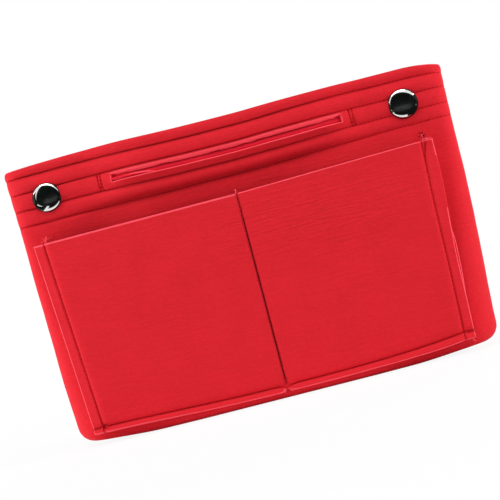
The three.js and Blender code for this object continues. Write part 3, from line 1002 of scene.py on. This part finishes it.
for side, word in ((1, "right"), (-1, "left")):
    body = f"pocket_{word}"
    face = make_face(f"pocket_front_{word}", side)
    bend_out(face, body)
    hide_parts(f"pocket_face_{word}")
    bend_out(make_pocket_stitches(f"pocket_stitches_{word}", side), body)
    gusset = make_gusset(f"pocket_side_{word}", side)
    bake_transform(gusset)
    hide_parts(f"pocket_gusset_{word}")
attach(make_divider_stitches(), "front")


# Seam of the base and loose thread ends

def make_base_stitches():
    """The seam round the base sheet, seen from below."""
    bm = bmesh.new()
    line = []
    for station in stations(fine=False):
        x, y, out = plan(station, 0)
        inside = (x - out.x * BASE_SEAM_INSET + aside(x, 0), y - out.y * BASE_SEAM_INSET, lift(x, 0) - 0.05)
        line.append(Vector(inside))
    stitch_row(bm, line, lambda middle, along: Vector((0, 0, -1)))
    return piece("base_stitches", bm, red_thread_painted_shade)


def make_thread_ends(name, middle, lengths, turns, material):
    """A few stitches of thread crossing in one place, as a bar tack or a knot leaves them. Each lies a little
    in front of the one before."""
    bm = bmesh.new()
    for i, (length, turn) in enumerate(zip(lengths, turns)):
        along = Vector((math.cos(math.radians(turn)), 0, math.sin(math.radians(turn))))
        place = Vector(middle) + Vector((0, -0.25 * i, 0.35 * math.sin(2 * i)))
        add_stitch(bm, place, along, FORWARD, length, THREAD_END)
    return piece(name, bm, material)


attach(make_base_stitches(), "back")
mouth_front = face_inner(MOUTH_Z) + POCKET_FELT
corner_front = face_inner(SEAM_Z) + POCKET_FELT - 0.6
# The left bar tack holds the top of the pocket's side to the wall, so it lies on the wall's felt
left_tack = skin(front_at(-114), MOUTH_Z + 2.4) + Vector((0, -0.2, 0))
right_tack = (113.1, -mouth_front + 1.2, MOUTH_Z + 2.1)
right_knot = (111.4, -half_depth(111, 125) - 1.2, 125.2)
loose_knot = (111.2, -half_depth(111, 125) - 2, 124.8)
divider_end = (1.4, -mouth_front + 1, MOUTH_Z + 1.1)
bottom_end = (-94.8, -half_depth(95, 7) - 1.2, 6.6)
corner_end = (110.5, -half_depth(110, 5) - 0.8, 5.6)
left_knot = (-106.2, -corner_front - 0.6, SEAM_Z - 0.2)
for name, body, middle, lengths, turns, material in (
    ("bar_tack_left", "front", left_tack, (8, 6.5, 6, 5, 4), (8, -26, 38, 80, 62), thread_painted_highlight),
    ("knot_right", "front", right_knot, (5.4, 5.2, 5.6), (72, 128, 4), thread_painted_knot_shade),
    ("knot_right_loose", "front", loose_knot, (2.8, 2), (95, 40), thread_painted_highlight),
    ("bar_tack_right", "pocket_right", right_tack, (7, 6, 4), (3, -6, 18), thread_painted_highlight),
    ("thread_end_divider", "front", divider_end, (3.6, 2.2), (80, 120), thread_painted_highlight),
    ("thread_end_bottom", "front", bottom_end, (4.4, 2.8), (-14, -50), thread_painted_knot_shade),
    ("thread_end_corner", "front", corner_end, (3.4, 1.8), (-38, -60), thread_painted_highlight),
    ("knot_corner_left", "pocket_left", left_knot, (5, 4.4, 3.6, 3.2), (-62, 10, 58, 105), thread_painted_knot_shade),
):
    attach(make_thread_ends(name, middle, lengths, turns, material), body)


# Press studs

def turned(name, side, profile, material, painted_shadow_from=None):
    """A metal part turned on the press stud's axis: profile points are radius and distance in front of the
    body's middle. Outside the radius given last, the rolled edge is painted dark as a contact shadow where
    it meets the felt."""
    bm = bmesh.new()
    verts = [bm.verts.new((radius, -front, 0)) for radius, front in profile]
    edges = [bm.edges.new(pair) for pair in zip(verts, verts[1:])]
    bmesh.ops.spin(
        bm, geom=verts + edges, cent=(0, 0, 0), axis=(0, 1, 0), angle=math.tau, steps=TURN_STEPS,
        use_merge=True,
    )
    close(bm)
    bmesh.ops.recalc_face_normals(bm, faces=bm.faces)
    for face in bm.faces:
        middle = face.calc_center_median()
        if painted_shadow_from and math.hypot(middle.x, middle.z) > painted_shadow_from:
            face.material_index = 1
    x, z = SNAP_PLACES[side]
    bmesh.ops.translate(bm, vec=(x, 0, z), verts=bm.verts)
    return piece(name, bm, material, nickel_painted_contact_shadow)


def arc(radius_from, radius_to, height_from, height_to, steps):
    """A quarter of an ellipse from a rim up to a crown."""
    points = []
    for i in range(steps + 1):
        angle = math.pi / 2 * i / steps
        radius = radius_to + (radius_from - radius_to) * math.cos(angle)
        points.append((radius, height_from + (height_to - height_from) * math.sin(angle)))
    return points


def cap_profile():
    """The domed cap outside the front, with a rolled edge that presses into the felt."""
    seat = RIM_END_HALF_DEPTH + STUD_CLEARANCE
    return [
        (0, seat - 2), (2, seat - 2), (2, seat), (7.6, seat), (8.2, seat + 0.1), (8.55, seat + 0.45),
        (8.6, seat + 0.8), *arc(8.45, 0, seat + 1.05, seat + 3.2, 14),
    ]


def socket_profile():
    """The female half inside the front: a flat ring and a cup that grips the ball."""
    back = SNAP_HALF_GAP - 0.15
    return [
        (0, back), (5.4, back), (5.6, back - 0.3), (5.5, back - 0.7), (4.9, back - 0.95), (4.5, back - 1.1),
        (4.4, back - 1.9), (4.1, back - 2.6), (3.5, back - 3.05), (2.8, back - 3.1), (2.3, back - 2.9),
        (2.1, back - 2.5), (2.1, back - 0.6), (0, back - 0.6),
    ]


def stud_profile():
    """The male half inside the back: a flat ring and a ball on a waist."""
    back = -(SNAP_HALF_GAP - 0.15)
    return [
        (0, back), (5.2, back), (5.4, back + 0.25), (5.2, back + 0.6), (3.6, back + 0.8), (1.9, back + 0.8),
        (1.4, back + 1.1), (1.4, back + 1.6), (1.8, back + 2.1), (1.75, back + 2.6), (1.3, back + 2.95),
        (0, back + 3),
    ]


def post_profile():
    """The post's cap outside the back, a shallow rolled ring round a dished middle."""
    seat = -(RIM_END_HALF_DEPTH + STUD_CLEARANCE)
    return [
        (0, seat - 0.5), (1.5, seat - 0.5), (2, seat - 0.9), (2.6, seat - 1.5), (3.4, seat - 1.8),
        (5, seat - 1.75), (6.1, seat - 1.3), (6.6, seat - 0.6), (6.5, seat - 0.1), (6.1, seat),
        (2, seat), (2, seat + 2), (0, seat + 2),
    ]


for side, word in ((1, "right"), (-1, "left")):
    cap = turned(f"press_stud_cap_{word}", side, cap_profile(), nickel, CAP_BRIGHT_RADIUS)
    socket = turned(f"press_stud_socket_{word}", side, socket_profile(), dull_nickel)
    stud = turned(f"press_stud_ball_{word}", side, stud_profile(), dull_nickel)
    post = turned(f"press_stud_post_{word}", side, post_profile(), nickel)
    for part, node, body in (
        (cap, "snap_cap", "front"),
        (socket, "snap_socket", "front"),
        (stud, "snap_stud", "back"),
        (post, "snap_post", "back"),
    ):
        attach(part, body)
        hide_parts(f"{node}_{word}")


# Studio: floor, light and camera

def seen_or_mirrored(tree):
    """1 for what the camera or a mirror-like surface looks at, 0 for what lights the object."""
    ray = add(tree, "ShaderNodeLightPath", {})
    looks = {0: ray.outputs["Is Camera Ray"], 1: ray.outputs["Is Glossy Ray"]}
    return add(tree, "ShaderNodeMath", looks, operation="MAXIMUM").outputs[0]


def make_floor():
    """Matt white paper, which shows the organizer's shadow faintly and is pure white further out."""
    bm = bmesh.new()
    bmesh.ops.create_grid(bm, x_segments=1, y_segments=1, size=3000)
    bmesh.ops.translate(bm, vec=(0, 0, -0.3), verts=bm.verts)
    material, tree, main, place = shader("matt_white_paper")
    main.inputs["Base Color"].default_value = linear("F6F6F6")
    main.inputs["Roughness"].default_value = 0.9
    white = add(tree, "ShaderNodeEmission", {"Color": (1, 1, 1, 1), "Strength": 1})
    far = add(tree, "ShaderNodeVectorMath", {0: place}, operation="LENGTH").outputs["Value"]
    glow = add(tree, "ShaderNodeMapRange", {"Value": far, 1: 0.2, 2: 0.6, 3: 0.9, 4: 1}).outputs["Result"]
    share = add(tree, "ShaderNodeMath", {0: seen_or_mirrored(tree), 1: glow}, operation="MULTIPLY")
    both = add(tree, "ShaderNodeMixShader", {0: share.outputs[0], 1: main.outputs[0], 2: white.outputs[0]})
    tree.links.new(both.outputs[0], tree.nodes["Material Output"].inputs["Surface"])
    piece("floor", bm, material)


def make_card(name, size, middle, roll, turn, stand=90):
    """A card of black flock, which gives back hardly any light and which only mirror-like parts see, as a
    studio has round the lens and beside it. stand, roll and turn are degrees about X, Y and Z."""
    bm = bmesh.new()
    bmesh.ops.create_grid(bm, x_segments=1, y_segments=1, size=0.5)
    bmesh.ops.scale(bm, vec=(size[0], size[1], 1), verts=bm.verts)
    for degrees, axis in ((stand, "X"), (roll, "Y"), (turn, "Z")):
        turned_by = Matrix.Rotation(math.radians(degrees), 3, axis)
        bmesh.ops.rotate(bm, cent=(0, 0, 0), matrix=turned_by, verts=bm.verts)
    bmesh.ops.translate(bm, vec=middle, verts=bm.verts)
    material, _, main, _ = shader("black_flock_card")
    main.inputs["Base Color"].default_value = linear("101412")
    main.inputs["Specular IOR Level"].default_value = 0
    card = piece(name, bm, material)
    card.visible_camera = card.visible_diffuse = card.visible_shadow = card.visible_transmission = False


def area_light(name, middle, size, watts):
    """A soft box that faces the organizer."""
    light = bpy.data.lights.new(name, "AREA")
    light.shape = "RECTANGLE"
    light.size, light.size_y = size[0] * MM, size[1] * MM
    light.energy = watts
    lamp = bpy.data.objects.new(name, light)
    lamp.location = Vector(middle) * MM
    aim = Vector((0, 0, 90)) - Vector(middle)
    lamp.rotation_euler = aim.to_track_quat("-Z", "Y").to_euler()
    bpy.context.collection.objects.link(lamp)


def make_world():
    """White to the camera and to mirrors, and only a faint light on the organizer."""
    world = bpy.data.worlds.new("white_studio")
    bpy.context.scene.world = world
    world.use_nodes = True
    tree = world.node_tree
    level = add(tree, "ShaderNodeMapRange", {"Value": seen_or_mirrored(tree), 3: 0.1, 4: 1})
    tree.links.new(level.outputs["Result"], tree.nodes["Background"].inputs["Strength"])
    tree.nodes["Background"].inputs["Color"].default_value = (1, 1, 1, 1)


def make_camera():
    """The photograph's view: from a little right of the front, level, and rolled."""
    azimuth, elevation, roll = map(math.radians, (CAMERA_AZIMUTH, CAMERA_ELEVATION, CAMERA_ROLL))
    level = math.cos(elevation)
    back = Vector((math.sin(azimuth) * level, -math.cos(azimuth) * level, math.sin(elevation)))
    right = Vector((math.cos(azimuth), math.sin(azimuth), 0))
    up = back.cross(right)
    rolled_right = right * math.cos(roll) + up * math.sin(roll)
    rolled_up = up * math.cos(roll) - right * math.sin(roll)
    camera = bpy.data.objects.new("camera", bpy.data.cameras.new("camera"))
    camera.data.lens = LENS
    turn = Matrix((rolled_right, rolled_up, back)).transposed().to_4x4()
    place = (Vector(CAMERA_TARGET) + back * CAMERA_DISTANCE) * MM
    camera.matrix_world = Matrix.Translation(place) @ turn
    bpy.context.collection.objects.link(camera)
    bpy.context.scene.camera = camera


make_floor()
make_card("lens_card", (1000, 600), (60, -420, 185), 20, 0)
make_card("left_card", (800, 420), (-560, -100, 160), 15, 90)
make_card("right_card", (800, 420), (560, -100, 160), 15, 90)
make_card("floor_card_left", (450, 360), (-450, -240, 2), 0, 0, 0)
make_card("floor_card_middle", (350, 190), (0, -325, 2), 0, 0, 0)
make_card("floor_card_right", (450, 360), (350, -240, 2), 0, 0, 0)
area_light("top_box", (-60, -330, 900), (900, 400), 4.5)
area_light("left_box", (-950, -160, 300), (500, 600), 7.2)
area_light("right_box", (950, -160, 380), (500, 600), 6.4)
area_light("front_box", (0, -1100, 20), (900, 120), 1.4)
area_light("back_box", (200, 1300, 500), (900, 500), 7)
make_world()
make_camera()
bpy.context.scene.view_settings.view_transform = "Standard"
